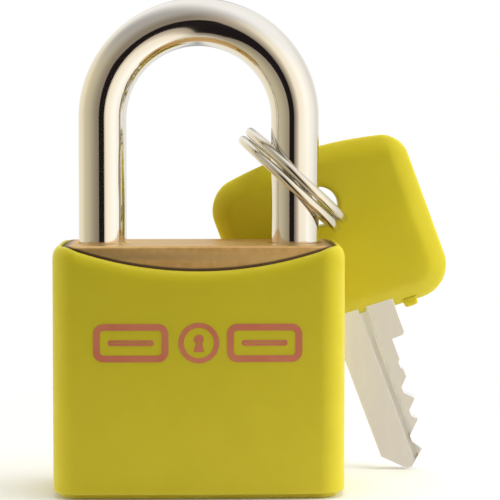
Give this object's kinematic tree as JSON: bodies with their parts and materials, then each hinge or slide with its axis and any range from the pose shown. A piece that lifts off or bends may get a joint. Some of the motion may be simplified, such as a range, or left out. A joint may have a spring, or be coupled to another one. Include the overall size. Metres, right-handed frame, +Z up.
{
  "type": "padlock",
  "caption": "Small keyed padlock with a round steel shackle and a plastic cover over its metal body, with its key on a split ring",
  "frame": {"origin": "middle of the cover's underside, on which the lock stands", "axes": "+Z up along the shackle's legs, +X across the body towards the leg that carries the ring, -Y out of the front face"},
  "size_m": [0.053, 0.0221, 0.0646],
  "materials": {
    "cover_plastic": "satin moulded",
    "body_brass": "brushed",
    "plug_brass": "turned",
    "shackle_steel": "polished nickel-chrome plating",
    "pin_steel": "ground",
    "spring_steel": "drawn wire",
    "key_nickel": "satin nickel plating",
    "key_plastic": "satin moulded",
    "ring_nickel": "polished nickel plating"
  },
  "bodies": {
    "lock": {"cover": "cover_plastic", "lock_body": "body_brass", "chamber_plugs": "body_brass", "cross_bore_plug": "body_brass", "plug_retaining_pin": "pin_steel", "shackle_retaining_pin": "pin_steel", "shackle_spring": "spring_steel", "pin_spring_1": "spring_steel", "pin_spring_2": "spring_steel", "pin_spring_3": "spring_steel", "pin_spring_4": "spring_steel"},
    "shackle": {"shackle": "shackle_steel"},
    "ring": {"split_ring": "ring_nickel"},
    "key": {"key_blade": "key_nickel", "key_bow": "key_plastic"},
    "plug": {"plug": "plug_brass", "cam": "plug_brass"},
    "latch_right": {"latch_right": "pin_steel"},
    "latch_left": {"latch_left": "pin_steel"},
    "key_pin_1": {"key_pin_1": "plug_brass"},
    "driver_pin_1": {"driver_pin_1": "plug_brass"},
    "key_pin_2": {"key_pin_2": "plug_brass"},
    "driver_pin_2": {"driver_pin_2": "plug_brass"},
    "key_pin_3": {"key_pin_3": "plug_brass"},
    "driver_pin_3": {"driver_pin_3": "plug_brass"},
    "key_pin_4": {"key_pin_4": "plug_brass"},
    "driver_pin_4": {"driver_pin_4": "plug_brass"}
  },
  "joints": [
    {"name": "shackle_lift", "type": "slide", "parent": "lock", "child": "shackle", "axis": [0, 0, 1], "range_m": [0, 0.0115], "deforming": ["shackle_spring"]},
    {"name": "plug_turn", "type": "hinge", "parent": "lock", "child": "plug", "pos_m": [0, 0, 0.0014], "axis": [0, 0, 1], "range_deg": [-90, 0]},
    {"name": "latch_right_slide", "type": "slide", "parent": "lock", "child": "latch_right", "axis": [1, 0, 0], "range_m": [0, 0.0014]},
    {"name": "latch_left_slide", "type": "slide", "parent": "lock", "child": "latch_left", "axis": [-1, 0, 0], "range_m": [0, 0.0014]},
    {"name": "ring_swivel", "type": "hinge", "parent": "shackle", "child": "ring", "pos_m": [0.01265, 0, 0.0406], "axis": [0, 0, 1], "range_deg": [-180, 0]},
    {"name": "key_swing", "type": "hinge", "parent": "ring", "child": "key", "pos_m": [0.01635, 0.01075, 0.03677], "axis": [-0.0184, 0.9986, 0.049], "range_deg": [-50, 4]},
    {"name": "key_pin_1_slide", "type": "slide", "parent": "plug", "child": "key_pin_1", "axis": [-1, 0, 0], "range_m": [0, 0.0013]},
    {"name": "driver_pin_1_slide", "type": "slide", "parent": "lock", "child": "driver_pin_1", "axis": [1, 0, 0], "range_m": [0, 0.0016], "stiffness_N_per_m": 50, "springref_m": -0.002, "deforming": ["pin_spring_1"]},
    {"name": "key_pin_2_slide", "type": "slide", "parent": "plug", "child": "key_pin_2", "axis": [-1, 0, 0], "range_m": [0, 0.0013]},
    {"name": "driver_pin_2_slide", "type": "slide", "parent": "lock", "child": "driver_pin_2", "axis": [1, 0, 0], "range_m": [0, 0.0016], "stiffness_N_per_m": 50, "springref_m": -0.002, "deforming": ["pin_spring_2"]},
    {"name": "key_pin_3_slide", "type": "slide", "parent": "plug", "child": "key_pin_3", "axis": [-1, 0, 0], "range_m": [0, 0.0013]},
    {"name": "driver_pin_3_slide", "type": "slide", "parent": "lock", "child": "driver_pin_3", "axis": [1, 0, 0], "range_m": [0, 0.0016], "stiffness_N_per_m": 50, "springref_m": -0.002, "deforming": ["pin_spring_3"]},
    {"name": "key_pin_4_slide", "type": "slide", "parent": "plug", "child": "key_pin_4", "axis": [-1, 0, 0], "range_m": [0, 0.0013]},
    {"name": "driver_pin_4_slide", "type": "slide", "parent": "lock", "child": "driver_pin_4", "axis": [1, 0, 0], "range_m": [0, 0.0016], "stiffness_N_per_m": 50, "springref_m": -0.002, "deforming": ["pin_spring_4"]}
  ],
  "couplings": [
    {"joint": "latch_right_slide", "follows": "plug_turn", "m_per_rad": -0.000859},
    {"joint": "latch_left_slide", "follows": "plug_turn", "m_per_rad": -0.000859}
  ]
}
